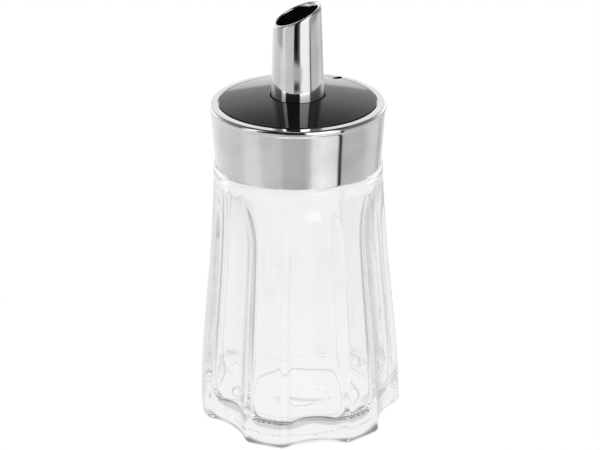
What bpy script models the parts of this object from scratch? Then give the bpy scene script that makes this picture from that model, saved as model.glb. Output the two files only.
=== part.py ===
# Sugar shaker: a fluted glass jar, a chrome screw cap, a black cover disc and a chrome pouring spout.
# Metres, +Z up. The origin is the middle of the base, on the surface that the jar stands on.
# The jar's lands face 0, 60, 120 ... degrees from +X, and the spout pours towards -X.

import math

import bmesh
import bpy
from mathutils import Matrix, Vector

TOUCH_GAP = 0.0003

# Glass jar, outside
BASE_RADIUS = 0.0387
TOP_RADIUS = 0.0310
TAPER_FROM = -0.008
TAPER_TO = 0.108
HEEL_ROUND = 0.0022
FLUTE_COUNT = 6
FLUTE_FLOOR_RADIUS = 0.0334
FLUTE_ARC_RADIUS = 0.0258
LAND_HALF_ANGLE = math.radians(12.1)
LAND_FLATNESS = 0.5
LAND_FADE_FROM = 0.055
LAND_FADE_TO = 0.078
RIDGE_ROUND = 0.0016
ARCH_FROM = 0.075
ARCH_TOP = 0.0955

# Glass jar, neck and inside
NECK_FOOT = 0.10105
NECK_RADIUS = 0.02925
NECK_TOP = 0.1209
NECK_BORE = 0.0252
RIM_ROUND = 0.0012
SHOULDER_ROUND = 0.0014
FLOOR_MIDDLE = 0.0031
FLOOR_DISH_RADIUS = 0.300
CORNER_TOP = 0.0138
CORNER_REACH = 0.0082
WALL_LOW = 0.0042
WALL_HIGH = 0.0030
WALL_SOFTNESS = math.radians(1.6)
INNER_SHOULDER_FROM = 0.094
INNER_SHOULDER_TO = 0.104
PUSH_UP_RADIUS = 0.0090
PUSH_UP_RIM = 0.0012
PUSH_UP_HEIGHT = 0.0007

# The jar's rings are closest together where a ridge turns
SECTOR_STEPS = (0.0, 7.0, 10.8, 13.2, 18.0, 24.0)

# Chrome cap
CAP_FOOT = 0.10135
CAP_FOOT_RADIUS = 0.0304
CAP_SHOULDER = 0.1215
CAP_SHOULDER_RADIUS = 0.0318
BEAD_RADIUS = 0.0322
BEAD_LOW = 0.1220
BEAD_HIGH = 0.1229
CAP_TOP = 0.12397
CAP_TOP_RADIUS = 0.0312
CAP_WALL = 0.0008
CAP_PLATE = 0.0010
RECESS_RADIUS = 0.0289
RECESS_DEPTH = 0.00177
CAP_SEGMENTS = 60

# Black cover disc
DISC_RADIUS = 0.0286
DISC_EDGE_HEIGHT = 0.12415
DISC_CROWN_HEIGHT = 0.1264
DISC_EDGE_ROUND = 0.0004
DISC_DOME_STEPS = 4

# Spout
SPOUT_FOOT_RADIUS = 0.0098
SPOUT_MOUTH_RADIUS = 0.00864
SPOUT_WALL = 0.00125
SPOUT_MIDDLE_HEIGHT = 0.1568
SPOUT_SLANT = math.radians(23.4)
SPOUT_BLANK_TOP = 0.166
SPOUT_LIP_BEVEL = 0.0003
SPOUT_SEGMENTS = 40

# Vent hole at the edge of the disc
VENT_HALF_WIDTH = 0.0014
VENT_HALF_LENGTH = 0.0025
VENT_CIRCLE_RADIUS = 0.0283
VENT_ANGLE = math.radians(49.3)


def smooth_share(low, high, value):
    share = min(max((value - low) / (high - low), 0.0), 1.0)
    return share * share * (3.0 - 2.0 * share)


def rounded_minimum(first, second, blend):
    overlap = max(blend - abs(first - second), 0.0) / blend
    return min(first, second) - overlap * overlap * blend / 4.0


def body_radius(height):
    """Radius of the round, tapered form that the flutes are cut into."""
    share = (height - TAPER_FROM) / (TAPER_TO - TAPER_FROM)
    return BASE_RADIUS - (BASE_RADIUS - TOP_RADIUS) * (1.0 - math.cos(math.pi * share)) / 2.0


def land_radius(turn, height):
    """The lands are a little flatter than a circle, and round again above the flutes."""
    flatness = LAND_FLATNESS * (1.0 - smooth_share(LAND_FADE_FROM, LAND_FADE_TO, height))
    return body_radius(height) * (math.cos(LAND_HALF_ANGLE) / math.cos(turn)) ** flatness


def flute_radius(turn, height):
    """A flute is a hollow arc across, and it runs out of the glass in an arch at its top."""
    arc_centre = FLUTE_FLOOR_RADIUS + FLUTE_ARC_RADIUS
    inside_root = FLUTE_ARC_RADIUS ** 2 - (arc_centre * math.sin(turn)) ** 2
    hollow = arc_centre * math.cos(turn) - math.sqrt(max(inside_root, 0.0))
    rise = max(height - ARCH_FROM, 0.0) / (ARCH_TOP - ARCH_FROM)
    run_out = (BASE_RADIUS - FLUTE_FLOOR_RADIUS) * rise * rise
    return (hollow + run_out) * body_radius(height) / BASE_RADIUS


def outer_radius(angle, height):
    sector = 2.0 * math.pi / FLUTE_COUNT
    from_land = (angle + sector / 2.0) % sector - sector / 2.0
    from_flute = sector / 2.0 - abs(from_land)
    return rounded_minimum(land_radius(from_land, height), flute_radius(from_flute, height), RIDGE_ROUND)


def inner_radius(angle, height):
    """The inside follows the flutes, a little softer than the outside, into a round neck."""
    height_share = (height - FLOOR_MIDDLE) / (INNER_SHOULDER_FROM - FLOOR_MIDDLE)
    wall = WALL_LOW + (WALL_HIGH - WALL_LOW) * min(max(height_share, 0.0), 1.0)
    around = [outer_radius(angle + WALL_SOFTNESS * step, height) for step in range(-2, 3)]
    body = sum(around) / len(around) - wall
    neck_share = smooth_share(INNER_SHOULDER_FROM, INNER_SHOULDER_TO, height)
    return body + (NECK_BORE - body) * neck_share


def floor_height(radius):
    """The floor inside is a shallow dish."""
    return FLOOR_MIDDLE + radius * radius / (2.0 * FLOOR_DISH_RADIUS)


def jar_angles():
    sector = 2.0 * math.pi / FLUTE_COUNT
    half = [math.radians(step) for step in SECTOR_STEPS]
    angles = []
    for index in range(FLUTE_COUNT):
        start = index * sector
        angles += [start + step for step in half]
        angles.append(start + sector / 2.0)
        angles += [start + sector - step for step in reversed(half[1:])]
    return angles


def ring(angles, radius_of, height):
    return [
        Vector((radius_of(angle) * math.cos(angle), radius_of(angle) * math.sin(angle), height))
        for angle in angles
    ]


def quarter_round(steps):
    """Cosine and sine along a quarter turn, both ends included."""
    turns = [0.5 * math.pi * step / steps for step in range(steps + 1)]
    return [(math.cos(turn), math.sin(turn)) for turn in turns]


def jar_outside(angles):
    rings = [ring(angles, lambda angle: PUSH_UP_RADIUS, PUSH_UP_HEIGHT)]
    rings.append(ring(angles, lambda angle: PUSH_UP_RADIUS + PUSH_UP_RIM, 0.0))
    for cosine, sine in quarter_round(3):
        height = HEEL_ROUND * (1.0 - cosine)
        inset = HEEL_ROUND * (1.0 - sine)
        rings.append(ring(angles, lambda angle: outer_radius(angle, height) - inset, height))
    body_heights = [step * ARCH_FROM / 7.0 for step in range(1, 8)]
    arch_step = (ARCH_TOP - ARCH_FROM) / 6.0
    body_heights += [ARCH_FROM + arch_step * step for step in range(1, 8)]
    for height in body_heights:
        rings.append(ring(angles, lambda angle: outer_radius(angle, height), height))
    shoulder_radius = body_radius(NECK_FOOT - SHOULDER_ROUND)
    for cosine, sine in quarter_round(3):
        radius = shoulder_radius - SHOULDER_ROUND * (1.0 - cosine)
        height = NECK_FOOT - SHOULDER_ROUND * (1.0 - sine)
        rings.append(ring(angles, lambda angle: radius, height))
    return rings


def jar_neck(angles):
    rings = [ring(angles, lambda angle: NECK_RADIUS, NECK_FOOT)]
    rim_middle = NECK_TOP - RIM_ROUND
    for cosine, sine in quarter_round(2):
        radius = NECK_RADIUS - RIM_ROUND * (1.0 - cosine)
        rings.append(ring(angles, lambda angle: radius, rim_middle + RIM_ROUND * sine))
    for sine, cosine in quarter_round(2):
        radius = NECK_BORE + RIM_ROUND * (1.0 - cosine)
        rings.append(ring(angles, lambda angle: radius, rim_middle + RIM_ROUND * sine))
    return rings


def corner_point(angle, cosine, sine):
    """A point on the rounded corner between the inner wall and the dished floor."""
    wall_radius = inner_radius(angle, CORNER_TOP)
    drop = CORNER_TOP - floor_height(wall_radius - CORNER_REACH)
    radius = wall_radius - CORNER_REACH * (1.0 - cosine)
    return Vector((radius * math.cos(angle), radius * math.sin(angle), CORNER_TOP - drop * sine))


def jar_inside(angles):
    heights = [INNER_SHOULDER_TO, 0.5 * (INNER_SHOULDER_TO + INNER_SHOULDER_FROM), INNER_SHOULDER_FROM]
    body_steps = 5
    for step in range(1, body_steps):
        heights.append(INNER_SHOULDER_FROM + (CORNER_TOP - INNER_SHOULDER_FROM) * step / body_steps)
    rings = [ring(angles, lambda angle: inner_radius(angle, height), height) for height in heights]
    for cosine, sine in quarter_round(3):
        rings.append([corner_point(angle, cosine, sine) for angle in angles])
    return rings


def finish(name, shape, material, smooth_angle=40.0):
    """Turn a bmesh into a named object with one material."""
    bmesh.ops.recalc_face_normals(shape, faces=shape.faces)
    mesh = bpy.data.meshes.new(name)
    shape.to_mesh(mesh)
    shape.free()
    mesh.materials.append(material)
    mesh.shade_smooth()
    mesh.set_sharp_from_angle(angle=math.radians(smooth_angle))
    thing = bpy.data.objects.new(name, mesh)
    bpy.context.scene.collection.objects.link(thing)
    return thing


def build_jar(material):
    """One closed glass wall: under the base, up the outside, over the rim and down the inside."""
    angles = jar_angles()
    rings = jar_outside(angles) + jar_neck(angles) + jar_inside(angles)
    shape = bmesh.new()
    loops = [[shape.verts.new(point) for point in points] for points in rings]
    count = len(angles)
    for lower, upper in zip(loops, loops[1:]):
        for index in range(count):
            after = (index + 1) % count
            shape.faces.new((lower[index], lower[after], upper[after], upper[index]))
    for loop, height in ((loops[0], PUSH_UP_HEIGHT), (loops[-1], FLOOR_MIDDLE)):
        middle = shape.verts.new((0.0, 0.0, height))
        for index in range(count):
            shape.faces.new((loop[index], loop[(index + 1) % count], middle))
    return finish("jar", shape, material)


def turned(profile, segments):
    """A closed outline of (radius, height) points turned once about +Z."""
    shape = bmesh.new()
    points = [shape.verts.new((radius, 0.0, height)) for radius, height in profile]
    edges = [shape.edges.new((points[index - 1], points[index])) for index in range(len(points))]
    bmesh.ops.spin(
        shape,
        geom=points + edges,
        cent=(0.0, 0.0, 0.0),
        axis=(0.0, 0.0, 1.0),
        angle=2.0 * math.pi,
        steps=segments,
        use_duplicate=False,
    )
    bmesh.ops.remove_doubles(shape, verts=shape.verts, dist=0.000002)
    return shape


def spout_bore_radius(height):
    return spout_outer_radius(height) - SPOUT_WALL


def spout_outer_radius(height):
    foot = CAP_TOP - RECESS_DEPTH
    share = (height - foot) / (SPOUT_MIDDLE_HEIGHT - foot)
    return SPOUT_FOOT_RADIUS + (SPOUT_MOUTH_RADIUS - SPOUT_FOOT_RADIUS) * share


def build_cap(material):
    """Skirt, rolled bead, flat ring and a recessed plate with the spout's hole in the middle."""
    plate_top = CAP_TOP - RECESS_DEPTH
    plate_foot = plate_top - CAP_PLATE
    hole = spout_bore_radius(plate_top)
    corner = 0.0004
    bead_width = BEAD_RADIUS - CAP_TOP_RADIUS
    bead = [
        (CAP_TOP_RADIUS + bead_width * sine, BEAD_HIGH + (CAP_TOP - BEAD_HIGH) * cosine)
        for cosine, sine in quarter_round(3)
    ]
    profile = [(hole, plate_top), (RECESS_RADIUS, plate_top)]
    profile += [(RECESS_RADIUS, CAP_TOP - corner / 2.0), (RECESS_RADIUS + corner, CAP_TOP)]
    profile += bead
    profile += [(BEAD_RADIUS, BEAD_LOW), (CAP_SHOULDER_RADIUS, CAP_SHOULDER)]
    profile += [(CAP_FOOT_RADIUS, CAP_FOOT + corner), (CAP_FOOT_RADIUS - corner / 2.0, CAP_FOOT)]
    profile += [(CAP_FOOT_RADIUS - CAP_WALL, CAP_FOOT)]
    profile += [(CAP_SHOULDER_RADIUS - CAP_WALL, plate_foot), (hole, plate_foot)]
    return finish("cap", turned(profile, CAP_SEGMENTS), material, 30.0)


def dome_height(radius):
    """Height of the disc's shallow spherical top."""
    hole = SPOUT_FOOT_RADIUS + TOUCH_GAP
    drop = DISC_CROWN_HEIGHT - DISC_EDGE_HEIGHT
    share = (radius * radius - hole * hole) / (DISC_RADIUS * DISC_RADIUS - hole * hole)
    return DISC_CROWN_HEIGHT - drop * share


def build_disc(material):
    """Domed disc in the cap's recess, with a hole that the spout passes through."""
    foot = CAP_TOP - RECESS_DEPTH + TOUCH_GAP
    hole = SPOUT_FOOT_RADIUS + TOUCH_GAP
    edge = DISC_RADIUS - DISC_EDGE_ROUND
    profile = [(hole, foot)]
    for step in range(DISC_DOME_STEPS + 1):
        radius = hole + (edge - hole) * step / DISC_DOME_STEPS
        profile.append((radius, dome_height(radius)))
    profile += [(DISC_RADIUS, dome_height(edge) - DISC_EDGE_ROUND), (DISC_RADIUS, foot)]
    return finish("cover_disc", turned(profile, CAP_SEGMENTS), material)


def build_spout(material):
    """Tapered tube that stands on the cap's plate and ends in a slanted mouth."""
    foot = CAP_TOP - RECESS_DEPTH + TOUCH_GAP
    profile = [
        (spout_bore_radius(foot), foot),
        (spout_outer_radius(foot), foot),
        (spout_outer_radius(SPOUT_BLANK_TOP), SPOUT_BLANK_TOP),
        (spout_bore_radius(SPOUT_BLANK_TOP), SPOUT_BLANK_TOP),
    ]
    shape = turned(profile, SPOUT_SEGMENTS)
    slant = Vector((-math.sin(SPOUT_SLANT), 0.0, math.cos(SPOUT_SLANT)))
    everything = shape.verts[:] + shape.edges[:] + shape.faces[:]
    cut = bmesh.ops.bisect_plane(
        shape,
        geom=everything,
        plane_co=(0.0, 0.0, SPOUT_MIDDLE_HEIGHT),
        plane_no=slant,
        clear_outer=True,
    )
    mouth = [item for item in cut["geom_cut"] if isinstance(item, bmesh.types.BMEdge)]
    bmesh.ops.bridge_loops(shape, edges=mouth)
    bmesh.ops.recalc_face_normals(shape, faces=shape.faces)
    bmesh.ops.bevel(
        shape,
        geom=mouth,
        offset=SPOUT_LIP_BEVEL,
        segments=2,
        profile=0.5,
        affect="EDGES",
    )
    return finish("spout", shape, material)


def drill_vent(pieces):
    """An oval hole across the line between the ring and the disc."""
    shape = bmesh.new()
    bmesh.ops.create_cone(
        shape,
        cap_ends=True,
        segments=16,
        radius1=1.0,
        radius2=1.0,
        depth=0.008,
    )
    bmesh.ops.scale(shape, verts=shape.verts, vec=(VENT_HALF_LENGTH, VENT_HALF_WIDTH, 1.0))
    bmesh.ops.translate(shape, verts=shape.verts, vec=(VENT_CIRCLE_RADIUS, 0.0, CAP_TOP))
    turn = Matrix.Rotation(VENT_ANGLE, 4, "Z")
    bmesh.ops.transform(shape, verts=shape.verts, matrix=turn)
    mesh = bpy.data.meshes.new("vent_drill")
    shape.to_mesh(mesh)
    shape.free()
    drill = bpy.data.objects.new("vent_drill", mesh)
    drill.hide_render = True
    drill.display_type = "WIRE"
    bpy.context.scene.collection.objects.link(drill)
    for piece in pieces:
        hole = piece.modifiers.new("vent", "BOOLEAN")
        hole.operation = "DIFFERENCE"
        hole.object = drill


def plain_material(name, colour, metallic, roughness, transmission=0.0):
    material = bpy.data.materials.new(name)
    material.use_nodes = True
    shader = material.node_tree.nodes["Principled BSDF"]
    shader.inputs["Base Color"].default_value = (*colour, 1.0)
    shader.inputs["Metallic"].default_value = metallic
    shader.inputs["Roughness"].default_value = roughness
    shader.inputs["Transmission Weight"].default_value = transmission
    return material


def clear_scene():
    for thing in list(bpy.data.objects):
        bpy.data.objects.remove(thing, do_unlink=True)


def build_shaker():
    clear_scene()
    glass = plain_material("clear_glass", (0.97, 0.98, 0.98), 0.0, 0.02, 1.0)
    chrome = plain_material("chrome", (0.80, 0.81, 0.82), 1.0, 0.06)
    black = plain_material("black_gloss", (0.010, 0.010, 0.011), 0.0, 0.10)
    build_jar(glass)
    cap = build_cap(chrome)
    disc = build_disc(black)
    build_spout(chrome)
    drill_vent([cap, disc])


build_shaker()
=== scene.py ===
# Sugar shaker: a fluted glass jar, a chrome cap, a black domed disc and a slanted chrome spout

import math

import bmesh
import bpy
import numpy as np
from mathutils import Matrix


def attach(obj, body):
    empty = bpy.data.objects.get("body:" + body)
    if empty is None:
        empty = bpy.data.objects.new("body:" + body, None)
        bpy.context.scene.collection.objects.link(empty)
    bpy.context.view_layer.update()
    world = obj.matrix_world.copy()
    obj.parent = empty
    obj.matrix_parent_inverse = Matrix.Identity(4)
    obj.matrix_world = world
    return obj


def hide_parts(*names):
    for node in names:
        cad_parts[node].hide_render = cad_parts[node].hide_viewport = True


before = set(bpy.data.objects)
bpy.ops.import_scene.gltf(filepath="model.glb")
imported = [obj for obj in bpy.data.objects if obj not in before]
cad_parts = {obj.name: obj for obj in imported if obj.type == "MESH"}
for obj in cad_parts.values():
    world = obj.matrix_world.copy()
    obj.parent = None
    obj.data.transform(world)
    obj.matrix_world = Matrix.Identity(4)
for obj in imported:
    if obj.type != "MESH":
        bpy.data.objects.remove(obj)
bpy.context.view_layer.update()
print("frame loaded")


# small helpers for nodes and meshes

mixSockets = {"share": 0, "first": 6, "second": 7, "result": 2}  # of a mix node set to colours


def addNode(tree, kind, **settings):
    node = tree.nodes.new(kind)
    for name, value in settings.items():
        setattr(node, name, value)
    return node


def mathNode(tree, operation, first, second=None, third=None):
    node = addNode(tree, "ShaderNodeMath", operation=operation)
    for index, value in enumerate((first, second, third)):
        if value is None:
            continue
        if isinstance(value, (int, float)):
            node.inputs[index].default_value = value
        else:
            tree.links.new(value, node.inputs[index])
    return node.outputs[0]


def rangeNode(tree, value, fromLow, fromHigh, toLow=0.0, toHigh=1.0, smooth=True):
    node = addNode(tree, "ShaderNodeMapRange")
    node.interpolation_type = "SMOOTHSTEP" if smooth else "LINEAR"
    tree.links.new(value, node.inputs["Value"])
    node.inputs["From Min"].default_value = fromLow
    node.inputs["From Max"].default_value = fromHigh
    node.inputs["To Min"].default_value = toLow
    node.inputs["To Max"].default_value = toHigh
    return node.outputs["Result"]


def mixValues(tree, share, first, second):
    spread = mathNode(tree, "SUBTRACT", second, first)
    return mathNode(tree, "MULTIPLY_ADD", spread, share, first)


def mixColours(tree, share, first, second):
    node = addNode(tree, "ShaderNodeMix", data_type="RGBA")
    tree.links.new(share, node.inputs[mixSockets["share"]])
    node.inputs[mixSockets["first"]].default_value = (*first, 1.0)
    node.inputs[mixSockets["second"]].default_value = (*second, 1.0)
    return node.outputs[mixSockets["result"]]


def smoothShare(low, high, value):
    share = np.clip((value - low) / (high - low), 0.0, 1.0)
    return share * share * (3.0 - 2.0 * share)


def roundedMinimum(first, second, blend):
    overlap = np.maximum(blend - np.abs(first - second), 0.0) / blend
    return np.minimum(first, second) - overlap * overlap * blend / 4.0


def quarterTurn(steps):
    turns = np.linspace(0.0, math.pi / 2.0, steps + 1)
    return zip(np.cos(turns), np.sin(turns))


def turnFacesOut(mesh):
    shape = bmesh.new()
    shape.from_mesh(mesh)
    bmesh.ops.recalc_face_normals(shape, faces=shape.faces)
    shape.to_mesh(mesh)
    shape.free()


def standIn(name, mesh, node):
    # a finished mesh stands for one node of the frame
    piece = bpy.data.objects.new(name, mesh)
    bpy.context.scene.collection.objects.link(piece)
    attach(piece, "root")
    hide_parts(node)
    return piece


# glass jar

jar = {
    "segments": 432,
    "fluteCount": 6,
    "baseRadius": 0.0387,
    "topRadius": 0.0310,
    "taperFrom": -0.008,
    "taperTo": 0.108,
    "heelRound": 0.0022,
    "fluteFloorRadius": 0.0334,
    "fluteArcRadius": 0.0258,
    "landHalfAngle": math.radians(12.1),
    "landFlatness": 0.5,
    "landFade": (0.055, 0.078),
    "ridgeRound": 0.0019,
    "archFrom": 0.075,
    "archTop": 0.0955,
    "neckFoot": 0.10105,
    "neckRadius": 0.02925,
    "neckTop": 0.1209,
    "neckBore": 0.0252,
    "rimRound": 0.0012,
    "shoulderRound": 0.0014,
    "floorMiddle": 0.0031,
    "dishRadius": 0.300,
    "dishEnd": 0.05,
    "cornerTop": 0.0138,
    "cornerReach": 0.0082,
    "cornerPower": 2.0,
    "wallLow": 0.0042,
    "wallHigh": 0.0030,
    "wallBlur": math.radians(1.6),
    "innerShoulder": (0.094, 0.104),
    "firstRadius": 0.002,
    "recessRadius": 0.0090,
    "recessRim": 0.0012,
    "recessHeight": 0.0007,
    "seamRadius": 0.0222,
    "seamWidth": 0.0018,
    "seamDepth": 0.00070,
    "notchFrom": 0.0320,
    "notchLead": 0.0004,
    "notchDepth": 0.00018,
    "notchPitch": math.radians(4.0),
    "notchLand": math.radians(13.0),
    "notchFade": 0.8,
}

# how many rings each stretch of the jar's outline gets
jarSteps = {
    "recess": 8,
    "seam": 11,
    "notches": 15,
    "heel": 10,
    "wall": 36,
    "arch": 40,
    "shoulder": 8,
    "rim": 6,
    "innerShoulder": 14,
    "innerWall": 28,
    "corner": 26,
    "dish": 16,
}


def bodyRadius(height):
    share = (height - jar["taperFrom"]) / (jar["taperTo"] - jar["taperFrom"])
    narrowing = jar["baseRadius"] - jar["topRadius"]
    return jar["baseRadius"] - narrowing * (1.0 - math.cos(math.pi * share)) / 2.0


def fromLand(angles):
    sector = 2.0 * math.pi / jar["fluteCount"]
    return (angles + sector / 2.0) % sector - sector / 2.0


def outerRadius(angles, height):
    # lands are a little flatter than a circle; flutes are hollow arcs that run out in an arch
    turn = fromLand(angles)
    flatness = jar["landFlatness"] * (1.0 - smoothShare(*jar["landFade"], height))
    land = bodyRadius(height) * (math.cos(jar["landHalfAngle"]) / np.cos(turn)) ** flatness
    fluteTurn = math.pi / jar["fluteCount"] - np.abs(turn)
    arcCentre = jar["fluteFloorRadius"] + jar["fluteArcRadius"]
    root = np.maximum(jar["fluteArcRadius"] ** 2 - (arcCentre * np.sin(fluteTurn)) ** 2, 0.0)
    hollow = arcCentre * np.cos(fluteTurn) - np.sqrt(root)
    rise = max(height - jar["archFrom"], 0.0) / (jar["archTop"] - jar["archFrom"])
    runOut = (jar["baseRadius"] - jar["fluteFloorRadius"]) * rise * rise
    flute = (hollow + runOut) * bodyRadius(height) / jar["baseRadius"]
    return roundedMinimum(land, flute, jar["ridgeRound"])


def innerRadius(angles, height):
    # the inside follows the flutes, but softly
    low = jar["floorMiddle"]
    high = jar["innerShoulder"][0]
    share = min(max((height - low) / (high - low), 0.0), 1.0)
    wall = jar["wallLow"] + (jar["wallHigh"] - jar["wallLow"]) * share
    blurSteps = range(-2, 3)
    soft = sum(outerRadius(angles + jar["wallBlur"] * step, height) for step in blurSteps)
    body = soft / len(blurSteps) - wall
    return body + (jar["neckBore"] - body) * smoothShare(*jar["innerShoulder"], height)


def undersideRings(angles):
    # from the middle outwards: the pushed-up recess, the seam's groove and the notched ring
    flat = np.ones_like(angles)
    recessEdge = jar["recessRadius"] + jar["recessRim"]
    radii = list(np.linspace(jar["firstRadius"], jar["recessRadius"], jarSteps["recess"]))
    radii += list(np.linspace(jar["recessRadius"], recessEdge, jarSteps["recess"])[1:])
    rings = []
    for radius in radii:
        rise = 1.0 - smoothShare(jar["recessRadius"], recessEdge, radius)
        rings.append((flat * radius, flat * jar["recessHeight"] * rise))
    for share in np.linspace(-1.0, 1.0, jarSteps["seam"]):
        radius = jar["seamRadius"] + jar["seamWidth"] / 2.0 * share
        groove = jar["seamDepth"] * math.cos(math.pi * share / 2.0) ** 2
        rings.append((flat * radius, flat * groove))
    rings.append((flat * (jar["notchFrom"] - jar["notchLead"]), flat * 0.0))
    heelStart = outerRadius(angles, 0.0) - jar["heelRound"]
    notchWave = 0.5 - 0.5 * np.cos(2.0 * math.pi * angles / jar["notchPitch"])
    landEnd = jar["notchLand"]
    onLand = 1.0 - smoothShare(jar["notchFade"] * landEnd, landEnd, np.abs(fromLand(angles)))
    for share in np.linspace(0.0, 1.0, jarSteps["notches"])[:-1]:
        radius = jar["notchFrom"] + (heelStart - jar["notchFrom"]) * share
        depth = jar["notchDepth"] * math.sin(math.pi * share) ** 2
        rings.append((radius, depth * notchWave * onLand))
    return rings


def outsideRings(angles):
    # up from the heel, over the shoulder and round the rim of the neck
    flat = np.ones_like(angles)
    heelRound = jar["heelRound"]
    rings = []
    for cosine, sine in quarterTurn(jarSteps["heel"]):
        height = heelRound * (1.0 - cosine)
        rings.append((outerRadius(angles, height) - heelRound * (1.0 - sine), flat * height))
    shoulder = jar["neckFoot"] - jar["shoulderRound"]
    heights = list(np.linspace(heelRound, jar["archFrom"], jarSteps["wall"])[1:])
    heights += list(np.linspace(jar["archFrom"], shoulder, jarSteps["arch"])[1:-1])
    for height in heights:
        rings.append((outerRadius(angles, height), flat * height))
    for cosine, sine in quarterTurn(jarSteps["shoulder"]):
        radius = bodyRadius(shoulder) - jar["shoulderRound"] * (1.0 - cosine)
        rings.append((flat * radius, flat * (shoulder + jar["shoulderRound"] * sine)))
    rings.append((flat * jar["neckRadius"], flat * jar["neckFoot"]))
    rimMiddle = jar["neckTop"] - jar["rimRound"]
    for cosine, sine in quarterTurn(jarSteps["rim"]):
        radius = jar["neckRadius"] - jar["rimRound"] * (1.0 - cosine)
        rings.append((flat * radius, flat * (rimMiddle + jar["rimRound"] * sine)))
    for sine, cosine in quarterTurn(jarSteps["rim"]):
        radius = jar["neckBore"] + jar["rimRound"] * (1.0 - cosine)
        rings.append((flat * radius, flat * (rimMiddle + jar["rimRound"] * sine)))
    return rings


def insideRings(angles):
    # down the inside, round the corner of the bowl and in over the dished floor
    flat = np.ones_like(angles)
    bowlTop = jar["cornerTop"]
    shoulderFoot, shoulderTop = jar["innerShoulder"]
    heights = list(np.linspace(shoulderTop, shoulderFoot, jarSteps["innerShoulder"]))
    heights += list(np.linspace(shoulderFoot, bowlTop, jarSteps["innerWall"])[1:])
    rings = []
    for height in heights:
        rings.append((innerRadius(angles, height), flat * height))
    rimOfBowl = innerRadius(angles, bowlTop)
    edgeOfDish = rimOfBowl - jar["cornerReach"]
    edgeHeight = jar["floorMiddle"] + edgeOfDish ** 2 / (2.0 * jar["dishRadius"])
    slope = edgeOfDish / jar["dishRadius"]
    power = 2.0 / jar["cornerPower"]
    for turn in np.linspace(math.pi / 2.0, 0.0, jarSteps["corner"])[1:]:
        reach = 1.0 - math.sin(turn) ** power
        drop = math.cos(turn) ** power
        foot = edgeHeight + slope * jar["cornerReach"] * (1.0 - reach)
        rings.append((rimOfBowl - jar["cornerReach"] * reach, bowlTop - (bowlTop - foot) * drop))
    for share in np.linspace(1.0, jar["dishEnd"], jarSteps["dish"])[1:]:
        radius = edgeOfDish * share
        rings.append((radius, jar["floorMiddle"] + radius ** 2 / (2.0 * jar["dishRadius"])))
    return rings


def closedRings(name, rings, angles, firstHeight, lastHeight):
    # rings joined one after another, with a point in the middle of the first and of the last
    points = []
    for radius, height in rings:
        points.append(np.stack((radius * np.cos(angles), radius * np.sin(angles), height), axis=1))
    vertices = np.concatenate(points).tolist()
    count = len(angles)
    faces = []
    for row in range(len(rings) - 1):
        start = row * count
        for index in range(count):
            after = (index + 1) % count
            above = start + count
            faces.append((start + index, above + index, above + after, start + after))
    last = (len(rings) - 1) * count
    vertices += [(0.0, 0.0, firstHeight), (0.0, 0.0, lastHeight)]
    for index in range(count):
        after = (index + 1) % count
        faces.append((index, after, len(vertices) - 2))
        faces.append((last + after, last + index, len(vertices) - 1))
    mesh = bpy.data.meshes.new(name)
    mesh.from_pydata(vertices, [], faces)
    mesh.shade_smooth()
    return mesh


def buildJar(glass):
    angles = np.arange(jar["segments"]) * 2.0 * math.pi / jar["segments"]
    rings = undersideRings(angles) + outsideRings(angles) + insideRings(angles)
    mesh = closedRings("flutedJar", rings, angles, jar["recessHeight"], jar["floorMiddle"])
    turnFacesOut(mesh)
    mesh.materials.append(glass)
    return standIn("flutedJar", mesh, "jar")


# turned pieces

def sweptFaces(segments, count):
    # quads between neighbouring copies of a closed outline with count points
    faces = []
    for step in range(segments):
        here = step * count
        there = (step + 1) % segments * count
        for index in range(count):
            after = (index + 1) % count
            faces.append((here + index, there + index, there + after, here + after))
    return faces


def turnedMesh(name, profile, segments):
    # a closed outline of (radius, height) turned once about the jar's axis
    vertices = []
    for step in range(segments):
        turn = 2.0 * math.pi * step / segments
        for radius, height in profile:
            vertices.append((radius * math.cos(turn), radius * math.sin(turn), height))
    mesh = bpy.data.meshes.new(name)
    mesh.from_pydata(vertices, [], sweptFaces(segments, len(profile)))
    turnFacesOut(mesh)
    mesh.shade_smooth()
    return mesh


def arc(centre, radius, fromDegrees, toDegrees, steps):
    # points on an arc in the (radius, height) plane, both ends included
    turns = np.radians(np.linspace(fromDegrees, toDegrees, steps + 1))
    across, up = centre
    return [(across + radius * math.cos(turn), up + radius * math.sin(turn)) for turn in turns]


def line(start, end, steps):
    # points between two places, without the first one
    across = end[0] - start[0]
    up = end[1] - start[1]
    shares = np.linspace(0.0, 1.0, steps + 1)[1:]
    return [(start[0] + across * share, start[1] + up * share) for share in shares]


spout = {
    "segments": 240,
    "rows": 40,
    "lipSteps": 12,
    "foot": 0.1225,
    "footRadius": 0.0098,
    "mouthRadius": 0.00864,
    "wall": 0.00125,
    "middleHeight": 0.1568,
    "slant": math.radians(23.4),
    "lip": 0.00055,
    "sharpAngle": math.radians(50.0),
}


def spoutRadius(height):
    share = (height - spout["foot"]) / (spout["middleHeight"] - spout["foot"])
    return spout["footRadius"] + (spout["mouthRadius"] - spout["footRadius"]) * share


def spoutSections():
    # (share of the way up, inset from the outside, lift) up the outside, over the lip, down the bore
    lip = spout["lip"]
    wall = spout["wall"]
    sections = [(share, 0.0, -lip) for share in np.linspace(0.0, 1.0, spout["rows"])]
    for turn in np.linspace(0.0, math.pi, spout["lipSteps"] + 1)[1:-1]:
        sections.append((1.0, wall / 2.0 * (1.0 - math.cos(turn)), -lip + lip * math.sin(turn)))
    sections += [(share, wall, -lip) for share in np.linspace(1.0, 0.0, spout["rows"])]
    return sections


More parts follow.
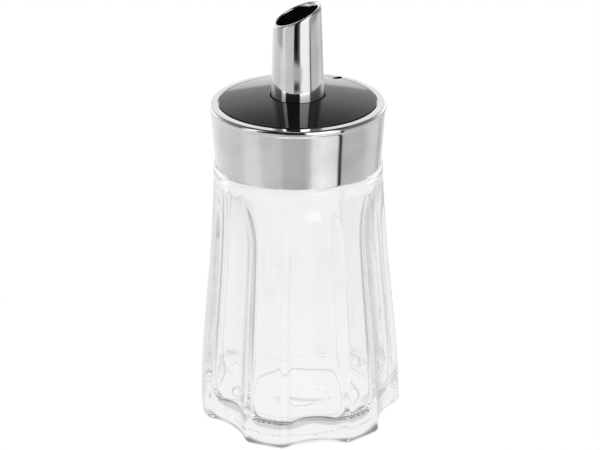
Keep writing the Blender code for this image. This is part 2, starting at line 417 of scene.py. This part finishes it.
def buildSpout(chrome, darkBoreAndVentShade):
    # the tube's rings lean from level at the foot to the slant of the mouth
    lean = math.tan(spout["slant"])
    sections = spoutSections()
    vertices = []
    for step in range(spout["segments"]):
        turn = 2.0 * math.pi * step / spout["segments"]
        for share, inset, lift in sections:
            height = spout["foot"] + (spout["middleHeight"] + lift - spout["foot"]) * share
            radius = spoutRadius(height) - inset
            tilt = radius * math.cos(turn) * lean * share ** 2
            vertices.append((radius * math.cos(turn), radius * math.sin(turn), height + tilt))
    mesh = bpy.data.meshes.new("pouringSpout")
    mesh.from_pydata(vertices, [], sweptFaces(spout["segments"], len(sections)))
    mesh.materials.append(chrome)
    mesh.materials.append(darkBoreAndVentShade)
    # the faces down the bore get the dark material
    boreStart = spout["rows"] + spout["lipSteps"]
    for index, face in enumerate(mesh.polygons):
        if index % len(sections) >= boreStart:
            face.material_index = 1
    mesh.shade_smooth()
    mesh.set_sharp_from_angle(angle=spout["sharpAngle"])
    return standIn("pouringSpout", mesh, "spout")


cap = {
    "segments": 320,
    "foot": 0.10135,
    "footRadius": 0.0304,
    "footRound": 0.0004,
    "shoulder": 0.1215,
    "shoulderRadius": 0.0318,
    "beadRadius": 0.0322,
    "beadLow": 0.1222,
    "beadHigh": 0.1229,
    "beadFade": 8,
    "top": 0.12397,
    "topRadius": 0.0312,
    "topInset": 0.0003,
    "wall": 0.0008,
    "plate": 0.0010,
    "recessRadius": 0.0289,
    "recessDepth": 0.00177,
    "hole": 0.0086,
    "edge": 0.0003,
    "sharpAngle": math.radians(35.0),
}


def capProfile():
    # from the hole outwards over the recess and the bead, down the band and back inside
    plateTop = cap["top"] - cap["recessDepth"]
    plateFoot = plateTop - cap["plate"]
    edge = cap["edge"]
    footRound = cap["footRound"]
    profile = line((cap["hole"], plateTop), (cap["recessRadius"], plateTop), steps=6)
    profile += arc((cap["recessRadius"] + edge, cap["top"] - edge), edge, 180.0, 90.0, steps=6)
    profile += line(profile[-1], (cap["topRadius"] - cap["topInset"], cap["top"]), steps=3)
    beadWidth = cap["beadRadius"] - cap["topRadius"]
    beadRise = cap["top"] - cap["beadHigh"]
    for cosine, sine in quarterTurn(steps=14):
        profile.append((cap["topRadius"] + beadWidth * sine, cap["beadHigh"] + beadRise * cosine))
    bead = cap["beadRadius"]
    profile += line((bead, cap["beadHigh"]), (bead, cap["beadLow"]), steps=3)
    for share in np.linspace(0.0, 1.0, cap["beadFade"] + 1)[1:]:
        narrowing = (bead - cap["shoulderRadius"]) * float(smoothShare(0.0, 1.0, share))
        fall = (cap["beadLow"] - cap["shoulder"]) * share
        profile.append((bead - narrowing, cap["beadLow"] - fall))
    low = (cap["footRadius"], cap["foot"] + footRound)
    profile += line((cap["shoulderRadius"], cap["shoulder"]), low, steps=40)
    profile += arc((low[0] - footRound, low[1]), footRound, 0.0, -90.0, steps=6)[1:]
    profile += line(profile[-1], (cap["shoulderRadius"] - cap["wall"], plateFoot), steps=8)
    profile += line(profile[-1], (cap["hole"], plateFoot), steps=6)
    return profile


def buildCap(chrome):
    mesh = turnedMesh("chromeCap", capProfile(), cap["segments"])
    mesh.materials.append(chrome)
    mesh.set_sharp_from_angle(angle=cap["sharpAngle"])
    return standIn("chromeCap", mesh, "cap")


disc = {
    "segments": 320,
    "radius": 0.0286,
    "hole": 0.0101,
    "foot": 0.1225,
    "edgeHeight": 0.12415,
    "crownHeight": 0.1264,
    "edgeRound": 0.0004,
    "domeSteps": 30,
    "sharpAngle": math.radians(50.0),
}


def domeHeight(radius):
    drop = disc["crownHeight"] - disc["edgeHeight"]
    share = (radius ** 2 - disc["hole"] ** 2) / (disc["radius"] ** 2 - disc["hole"] ** 2)
    return disc["crownHeight"] - drop * share


def buildDisc(black):
    edge = disc["radius"] - disc["edgeRound"]
    profile = [(disc["hole"], disc["foot"])]
    for radius in np.linspace(disc["hole"], edge, disc["domeSteps"]):
        profile.append((radius, domeHeight(radius)))
    centre = (edge, domeHeight(edge) - disc["edgeRound"])
    profile += arc(centre, disc["edgeRound"], 90.0, 0.0, steps=8)[1:]
    profile.append((disc["radius"], disc["foot"]))
    mesh = turnedMesh("coverDisc", profile, disc["segments"])
    mesh.materials.append(black)
    mesh.set_sharp_from_angle(angle=disc["sharpAngle"])
    return standIn("coverDisc", mesh, "cover_disc")


vent = {
    "halfWidth": 0.0014,
    "halfLength": 0.0025,
    "circleRadius": 0.0283,
    "angle": math.radians(49.3),
    "sides": 48,
    "drillDepth": 0.008,
    "sharpAngle": math.radians(35.0),
}


def ventDrill(ventShadeMaterial):
    # an upright oval rod where the vent goes
    shape = bmesh.new()
    bmesh.ops.create_cone(
        shape, cap_ends=True, segments=vent["sides"], radius1=1.0, radius2=1.0, depth=vent["drillDepth"],
    )
    bmesh.ops.scale(shape, verts=shape.verts, vec=(vent["halfLength"], vent["halfWidth"], 1.0))
    bmesh.ops.translate(shape, verts=shape.verts, vec=(vent["circleRadius"], 0.0, cap["top"]))
    bmesh.ops.transform(shape, verts=shape.verts, matrix=Matrix.Rotation(vent["angle"], 4, "Z"))
    mesh = bpy.data.meshes.new("ventDrill")
    shape.to_mesh(mesh)
    shape.free()
    # painted shade: the vent's walls take this dark material, so the hole shows dark
    mesh.materials.append(ventShadeMaterial)
    drill = bpy.data.objects.new("ventDrill", mesh)
    bpy.context.scene.collection.objects.link(drill)
    return drill


def drillVent(pieces, ventShadeMaterial):
    drill = ventDrill(ventShadeMaterial)
    depsgraph = bpy.context.evaluated_depsgraph_get()
    for piece in pieces:
        hole = piece.modifiers.new("vent", "BOOLEAN")
        hole.operation = "DIFFERENCE"
        hole.material_mode = "TRANSFER"
        hole.object = drill
    depsgraph.update()
    for piece in pieces:
        cut = bpy.data.meshes.new_from_object(piece.evaluated_get(depsgraph))
        piece.modifiers.clear()
        piece.data = cut
        cut.set_sharp_from_angle(angle=vent["sharpAngle"])
    bpy.data.objects.remove(drill, do_unlink=True)


# materials

surfaceWave = {
    "waveDetail": 1.0,
    "smudgeDetail": 4.0,
    "smudgeFrom": 0.45,
    "smudgeTo": 0.75,
}


def newMaterial(name):
    material = bpy.data.materials.new(name)
    material.use_nodes = True
    tree = material.node_tree
    return material, tree, tree.nodes["Principled BSDF"]


def surfaceWaveGroup():
    # soft unevenness of a moulded or plated surface, as a height and a mask of faint smudges
    group = bpy.data.node_groups.new("surfaceWave", "ShaderNodeTree")
    for name in ("Wave Scale", "Smudge Scale"):
        group.interface.new_socket(name, in_out="INPUT", socket_type="NodeSocketFloat")
    for name in ("Height", "Smudge"):
        group.interface.new_socket(name, in_out="OUTPUT", socket_type="NodeSocketFloat")
    inputs = addNode(group, "NodeGroupInput")
    outputs = addNode(group, "NodeGroupOutput")
    place = addNode(group, "ShaderNodeTexCoord").outputs["Object"]
    wave = addNode(group, "ShaderNodeTexNoise")
    wave.inputs["Detail"].default_value = surfaceWave["waveDetail"]
    smudge = addNode(group, "ShaderNodeTexNoise")
    smudge.inputs["Detail"].default_value = surfaceWave["smudgeDetail"]
    group.links.new(place, wave.inputs["Vector"])
    group.links.new(place, smudge.inputs["Vector"])
    group.links.new(inputs.outputs["Wave Scale"], wave.inputs["Scale"])
    group.links.new(inputs.outputs["Smudge Scale"], smudge.inputs["Scale"])
    group.links.new(wave.outputs["Fac"], outputs.inputs["Height"])
    mask = rangeNode(group, smudge.outputs["Fac"], surfaceWave["smudgeFrom"], surfaceWave["smudgeTo"])
    group.links.new(mask, outputs.inputs["Smudge"])
    return group


def placeWave(tree, group, look, shader):
    # bumps the shader's surface and gives back the mask of smudges
    node = addNode(tree, "ShaderNodeGroup", node_tree=group)
    node.inputs["Wave Scale"].default_value = look["waveScale"]
    node.inputs["Smudge Scale"].default_value = look["smudgeScale"]
    bump = addNode(tree, "ShaderNodeBump")
    bump.inputs["Distance"].default_value = look["bumpDistance"]
    bump.inputs["Strength"].default_value = look["bumpStrength"]
    tree.links.new(node.outputs["Height"], bump.inputs["Height"])
    tree.links.new(bump.outputs["Normal"], shader.inputs["Normal"])
    return node.outputs["Smudge"]


def dullSmudges(tree, smudge, look, shader):
    clean = look["roughness"]
    smudged = look["smudgedRoughness"]
    roughness = rangeNode(tree, smudge, 0.0, 1.0, clean, smudged, smooth=False)
    tree.links.new(roughness, shader.inputs["Roughness"])


glassLook = {
    "tint": (1.0, 1.0, 1.0),
    "paintedEdgeShade": (0.60, 0.61, 0.61),
    "edgeFrom": 0.50,
    "edgeTo": 0.95,
    "edgeBlend": 0.5,
    "thickTint": (0.90, 0.91, 0.91),
    "thickness": 15.0,
    "roughness": 0.03,
    "ior": 1.51,
    "waveScale": 70.0,
    "smudgeScale": 40.0,
    "bumpDistance": 0.0004,
    "bumpStrength": 0.25,
}


def glassMaterial(group):
    # clear, with painted shade where it is seen edge on, and a little grey where it is thick
    material, tree, shader = newMaterial("clearGlass")
    # painted shade: the colour turns grey where the glass is seen edge on
    facing = addNode(tree, "ShaderNodeLayerWeight")
    facing.inputs["Blend"].default_value = glassLook["edgeBlend"]
    edge = rangeNode(tree, facing.outputs["Facing"], glassLook["edgeFrom"], glassLook["edgeTo"])
    tint = mixColours(tree, edge, glassLook["tint"], glassLook["paintedEdgeShade"])
    tree.links.new(tint, shader.inputs["Base Color"])
    shader.inputs["Roughness"].default_value = glassLook["roughness"]
    shader.inputs["IOR"].default_value = glassLook["ior"]
    shader.inputs["Transmission Weight"].default_value = 1.0
    placeWave(tree, group, glassLook, shader)
    depth = addNode(tree, "ShaderNodeVolumeAbsorption")
    depth.inputs["Color"].default_value = (*glassLook["thickTint"], 1.0)
    depth.inputs["Density"].default_value = glassLook["thickness"]
    tree.links.new(depth.outputs["Volume"], tree.nodes["Material Output"].inputs["Volume"])
    return material


chromeLook = {
    "colour": (0.84, 0.845, 0.85),
    "smudgedColour": (0.72, 0.725, 0.73),
    "roughness": 0.035,
    "smudgedRoughness": 0.075,
    "waveScale": 55.0,
    "smudgeScale": 60.0,
    "bumpDistance": 0.0004,
    "bumpStrength": 0.45,
}


def chromeMaterial(group):
    material, tree, shader = newMaterial("polishedChrome")
    shader.inputs["Metallic"].default_value = 1.0
    smudge = placeWave(tree, group, chromeLook, shader)
    colour = mixColours(tree, smudge, chromeLook["colour"], chromeLook["smudgedColour"])
    tree.links.new(colour, shader.inputs["Base Color"])
    dullSmudges(tree, smudge, chromeLook, shader)
    return material


blackLook = {
    "colour": (0.006, 0.006, 0.0065),
    "specular": 0.42,
    "darkInsideSpecular": 0.5,
    "roughness": 0.015,
    "smudgedRoughness": 0.06,
    "waveScale": 90.0,
    "smudgeScale": 150.0,
    "bumpDistance": 0.0002,
    "bumpStrength": 0.15,
}


def blackMaterial(group, name, specular):
    material, tree, shader = newMaterial(name)
    shader.inputs["Base Color"].default_value = (*blackLook["colour"], 1.0)
    shader.inputs["Specular IOR Level"].default_value = specular
    smudge = placeWave(tree, group, blackLook, shader)
    dullSmudges(tree, smudge, blackLook, shader)
    return material


# stage: floor, studio surround and camera

camera = {
    "place": (-0.0993, -0.6182, 0.3510),
    "turn": math.radians(-9.17),
    "pitch": math.radians(23.80),
    "roll": math.radians(-0.409),
    "lens": 110.17,
    "sensor": 36.0,
}

# low, middle and high are what polished surfaces see, as (degrees to the right of the front,
# brightness); the ceilings and glass go by (degrees above level, brightness)
studio = {
    "front": -99.17,
    "low": [
        (-180, 0.96), (-150, 0.88), (-122, 0.74), (-100, 0.67), (-86, 0.66), (-76, 0.78),
        (-58, 0.78), (-49, 0.64), (-26, 0.60), (-19, 0.50), (8, 0.48), (15, 0.60), (21, 0.90),
        (34, 1.02), (48, 0.92), (55, 0.84), (58, 0.03), (61, 0.03), (63, 0.54), (98, 0.56),
        (114, 0.68), (132, 0.70), (143, 0.50), (152, 0.68), (180, 0.90),
    ],
    "middle": [
        (-180, 0.90), (-141, 0.77), (-112, 0.66), (-98, 0.48), (-80, 0.40), (-74, 0.44),
        (-69, 0.80), (-62, 0.80), (-57, 0.64), (-50, 0.61), (-18, 0.60), (-14, 0.01), (1, 0.01),
        (4, 0.08), (9, 0.13), (15, 1.03), (52, 1.03), (58, 0.34), (66, 0.40), (90, 0.33),
        (120, 0.27), (145, 0.26), (155, 0.40), (180, 0.70),
    ],
    "high": [
        (-180, 1.0), (-130, 0.8), (-110, 0.30), (-76, 0.18), (-71, 0.8), (-66, 1.3), (-56, 1.3),
        (-51, 0.02), (8, 0.02), (12, 1.7), (50, 1.7), (56, 0.18), (110, 0.20), (140, 0.9),
        (180, 1.0),
    ],
    "backCeiling": [
        (-5, 1.9), (10.0, 1.9), (11.6, 1.0), (24, 0.85), (38, 0.34), (60, 0.03), (90, 0.03),
    ],
    "frontCeiling": [(-5, 1.0), (45, 1.0), (60, 0.08), (90, 0.03)],
    "behindFrom": (85.0, 125.0),
    "middleFrom": (-15.4, -14.8),
    "highFrom": (-8.0, -4.0),
    "overhead": 0.55,
    "overheadFrom": (76.0, 82.0),
    "table": 2.5,
    "tableTop": (-46.0, -52.0),
    "tableFoot": (-70.0, -62.0),
    "tableSides": (42.0, 30.0),
    "glass": [
        (-90, 0.66), (-20, 0.66), (-4, 1.0), (1, 1.3), (7, 1.3), (14, 1.0), (30, 1.0), (45, 1.05),
        (90, 1.2),
    ],
    "glassFront": 0.75,
    "glassFrontSides": (90.0, 60.0),
    "glassFrontTop": (14.0, 26.0),
    "diffuse": 1.25,
}

brightest = 2.0  # what a ramp's white stands for
degreesPerRadian = 180.0 / math.pi


def rampNode(tree, value, stops, low, high):
    node = addNode(tree, "ShaderNodeValToRGB")
    ramp = node.color_ramp
    for _ in range(len(stops) - 2):
        ramp.elements.new(0.5)
    for element, (place, brightness) in zip(ramp.elements, stops):
        tone = brightness / brightest
        element.position = (place - low) / (high - low)
        element.color = (tone, tone, tone, 1.0)
    share = rangeNode(tree, value, low, high, smooth=False)
    tree.links.new(share, node.inputs["Fac"])
    return mathNode(tree, "MULTIPLY", node.outputs["Color"], brightest)


def roundRamp(tree, azimuth, stops):
    return rampNode(tree, azimuth, stops, -180.0, 180.0)


def upRamp(tree, elevation, stops):
    return rampNode(tree, elevation, stops, -90.0, 90.0)


def azimuthNode(tree, turn):
    # degrees to the right of the front, from an angle in radians
    azimuth = mathNode(tree, "MULTIPLY", turn, degreesPerRadian)
    azimuth = mathNode(tree, "SUBTRACT", azimuth, studio["front"])
    return mathNode(tree, "WRAP", azimuth, 180.0, -180.0)


def reflectedSurround(tree, azimuth, elevation):
    # soft panels for the chrome and the gloss: bands by height, each with its own stops
    away = mathNode(tree, "ABSOLUTE", azimuth)
    behind = rangeNode(tree, away, *studio["behindFrom"])
    frontCeiling = upRamp(tree, elevation, studio["frontCeiling"])
    backCeiling = upRamp(tree, elevation, studio["backCeiling"])
    ceiling = mixValues(tree, behind, frontCeiling, backCeiling)
    high = mathNode(tree, "MULTIPLY", roundRamp(tree, azimuth, studio["high"]), ceiling)
    middle = roundRamp(tree, azimuth, studio["middle"])
    low = roundRamp(tree, azimuth, studio["low"])
    table = rangeNode(tree, elevation, *studio["tableTop"])
    table = mathNode(tree, "MULTIPLY", table, rangeNode(tree, away, *studio["tableSides"]))
    table = mathNode(tree, "MULTIPLY", table, rangeNode(tree, elevation, *studio["tableFoot"]))
    low = mixValues(tree, table, low, studio["table"])
    reflected = mixValues(tree, rangeNode(tree, elevation, *studio["middleFrom"]), low, middle)
    reflected = mixValues(tree, rangeNode(tree, elevation, *studio["highFrom"]), reflected, high)
    overhead = rangeNode(tree, elevation, *studio["overheadFrom"])
    return mixValues(tree, overhead, reflected, studio["overhead"])


def surroundThroughGlass(tree, azimuth, elevation):
    glass = upRamp(tree, elevation, studio["glass"])
    away = mathNode(tree, "ABSOLUTE", azimuth)
    frontShade = rangeNode(tree, away, *studio["glassFrontSides"], 1.0, studio["glassFront"])
    frontEnd = rangeNode(tree, elevation, *studio["glassFrontTop"])
    return mathNode(tree, "MULTIPLY", glass, mixValues(tree, frontEnd, frontShade, 1.0))


def studioWorld():
    # each kind of ray sees its own surround: white behind, soft panels in the reflections
    world = bpy.data.worlds.new("studio")
    bpy.context.scene.world = world
    world.use_nodes = True
    tree = world.node_tree
    split = addNode(tree, "ShaderNodeSeparateXYZ")
    tree.links.new(addNode(tree, "ShaderNodeTexCoord").outputs["Generated"], split.inputs[0])
    turn = mathNode(tree, "ARCTAN2", split.outputs["Y"], split.outputs["X"])
    azimuth = azimuthNode(tree, turn)
    elevation = mathNode(tree, "ARCSINE", split.outputs["Z"])
    elevation = mathNode(tree, "MULTIPLY", elevation, degreesPerRadian)
    reflected = reflectedSurround(tree, azimuth, elevation)
    glass = surroundThroughGlass(tree, azimuth, elevation)
    rays = addNode(tree, "ShaderNodeLightPath")
    value = mixValues(tree, rays.outputs["Is Diffuse Ray"], 1.0, studio["diffuse"])
    value = mixValues(tree, rays.outputs["Is Glossy Ray"], value, reflected)
    value = mixValues(tree, rays.outputs["Is Transmission Ray"], value, glass)
    tree.links.new(value, tree.nodes["Background"].inputs["Color"])


# the paper as the glass sees it, with painted shade: near is under the jar, far goes by the side it lies
# on
floorLook = {
    "radius": 6.0,
    "sides": 128,
    "height": 0.00004,
    "glow": 1.0,
    "farShadeStops": [
        (-180, 0.90), (-128, 0.90), (-108, 0.5), (-75, 0.5), (-60, 0.85), (56, 0.95), (62, 0.5),
        (105, 0.5), (128, 0.90), (180, 0.90),
    ],
    "farFrom": (0.05, 0.12),
    "nearShade": 0.92,
    "footprint": 0.0345,
    "footprintWave": 0.0022,
    "heelSide": -108.0,
    "heelShade": 0.25,
    "heelFrom": (-0.0072, -0.0030),
    "heelFade": (0.0030, 0.0100),
    "heelFront": (-0.004, -0.013),
    "lineReach": 0.0011,
    "seamShade": 0.72,
    "recessRing": 0.0066,
    "recessShade": 0.70,
    "recessFront": (-0.002, -0.005),
    "streakDepth": -0.0009,
    "streakReach": 0.0024,
    "streakShade": 0.72,
    "streakEnd": (0.0055, 0.0090),
}


def shadedLine(tree, measure, middle, reach, shade):
    # a soft line of painted shade where the measure is near its middle
    off = mathNode(tree, "ABSOLUTE", mathNode(tree, "SUBTRACT", measure, middle))
    return rangeNode(tree, off, 0.0, reach, shade, 1.0)


def shadeUnderJar(tree, distance, turn, depth):
    # painted shade on the floor at the heel, seam and recess, and a painted streak of shade, for what
    # the thick base would show on a real table
    wave = mathNode(tree, "MULTIPLY", turn, float(jar["fluteCount"]))
    wave = mathNode(tree, "COSINE", wave)
    footprint = mathNode(
        tree, "MULTIPLY_ADD", wave, floorLook["footprintWave"], floorLook["footprint"],
    )
    outside = mathNode(tree, "SUBTRACT", distance, footprint)
    heel = rangeNode(tree, outside, *floorLook["heelFrom"])
    heelEnd = rangeNode(tree, outside, *floorLook["heelFade"], 1.0, 0.0)
    heel = mathNode(tree, "MULTIPLY", heel, heelEnd)
    heel = mathNode(tree, "MULTIPLY", heel, rangeNode(tree, depth, *floorLook["heelFront"]))
    near = mixValues(tree, heel, floorLook["nearShade"], floorLook["heelShade"])
    reach = floorLook["lineReach"]
    seam = shadedLine(tree, distance, jar["seamRadius"], reach, floorLook["seamShade"])
    recess = shadedLine(tree, distance, floorLook["recessRing"], reach, floorLook["recessShade"])
    recess = mixValues(tree, rangeNode(tree, depth, *floorLook["recessFront"]), 1.0, recess)
    streakOfShade = shadedLine(
        tree, depth, floorLook["streakDepth"], floorLook["streakReach"], floorLook["streakShade"],
    )
    streakOfShade = mixValues(tree, rangeNode(tree, distance, *floorLook["streakEnd"]), streakOfShade, 1.0)
    for shade in (seam, recess, streakOfShade):
        near = mathNode(tree, "MULTIPLY", near, shade)
    return near


def floorMaterial():
    material, tree, shader = newMaterial("paperWhite")
    shader.inputs["Base Color"].default_value = (0.0, 0.0, 0.0, 1.0)
    shader.inputs["Roughness"].default_value = 1.0
    shader.inputs["Specular IOR Level"].default_value = 0.0
    shader.inputs["Emission Strength"].default_value = floorLook["glow"]
    split = addNode(tree, "ShaderNodeSeparateXYZ")
    tree.links.new(addNode(tree, "ShaderNodeTexCoord").outputs["Object"], split.inputs[0])
    x = split.outputs["X"]
    y = split.outputs["Y"]
    square = mathNode(tree, "MULTIPLY_ADD", y, y, mathNode(tree, "POWER", x, 2.0))
    distance = mathNode(tree, "SQRT", square)
    turn = mathNode(tree, "ARCTAN2", y, x)
    back = math.radians(floorLook["heelSide"] + 180.0)
    across = mathNode(tree, "MULTIPLY", x, math.cos(back))
    depth = mathNode(tree, "MULTIPLY_ADD", y, math.sin(back), across)
    near = shadeUnderJar(tree, distance, turn, depth)
    # painted shade on the far paper, darker on some sides
    far = roundRamp(tree, azimuthNode(tree, turn), floorLook["farShadeStops"])
    shade = mixValues(tree, rangeNode(tree, distance, *floorLook["farFrom"]), near, far)
    seen = addNode(tree, "ShaderNodeLightPath").outputs["Is Camera Ray"]
    tree.links.new(mixValues(tree, seen, shade, 1.0), shader.inputs["Emission Color"])
    return material


def buildFloor():
    # it lies a hair above the jar's foot, so that no film of air shows between them
    bpy.ops.mesh.primitive_circle_add(
        vertices=floorLook["sides"], radius=floorLook["radius"], fill_type="NGON",
        location=(0.0, 0.0, floorLook["height"]),
    )
    floor = bpy.context.object
    floor.name = "studioFloor"
    floor.data.materials.append(floorMaterial())
    floor.visible_glossy = False


def placeCamera():
    data = bpy.data.cameras.new("photoCamera")
    data.sensor_width = camera["sensor"]
    data.lens = camera["lens"]
    eye = bpy.data.objects.new("photoCamera", data)
    bpy.context.scene.collection.objects.link(eye)
    facing = Matrix.Rotation(camera["turn"], 4, "Z")
    facing = facing @ Matrix.Rotation(math.pi / 2.0 - camera["pitch"], 4, "X")
    facing = facing @ Matrix.Rotation(camera["roll"], 4, "Z")
    eye.matrix_world = Matrix.Translation(camera["place"]) @ facing
    bpy.context.scene.camera = eye


# the thick glass passes light on many times before it comes out
lightPaths = {
    "max_bounces": 64,
    "glossy_bounces": 48,
    "transmission_bounces": 48,
}

waveGroup = surfaceWaveGroup()
glass = glassMaterial(waveGroup)
chrome = chromeMaterial(waveGroup)
black = blackMaterial(waveGroup, "blackGloss", blackLook["specular"])
# dark gloss for the spout's bore and the vent's walls; in the vent it is painted shade
darkBoreAndVentShade = blackMaterial(waveGroup, "darkBoreVentShade", blackLook["darkInsideSpecular"])
print("materials made")

buildJar(glass)
print("jar made")

buildSpout(chrome, darkBoreAndVentShade)
capPiece = buildCap(chrome)
discPiece = buildDisc(black)
drillVent([capPiece, discPiece], darkBoreAndVentShade)
print("cap, disc and spout made")

studioWorld()
buildFloor()
placeCamera()
scene = bpy.context.scene
scene.view_settings.view_transform = "Standard"
scene.view_settings.look = "None"
for name, count in lightPaths.items():
    setattr(scene.cycles, name, count)
print("stage set")
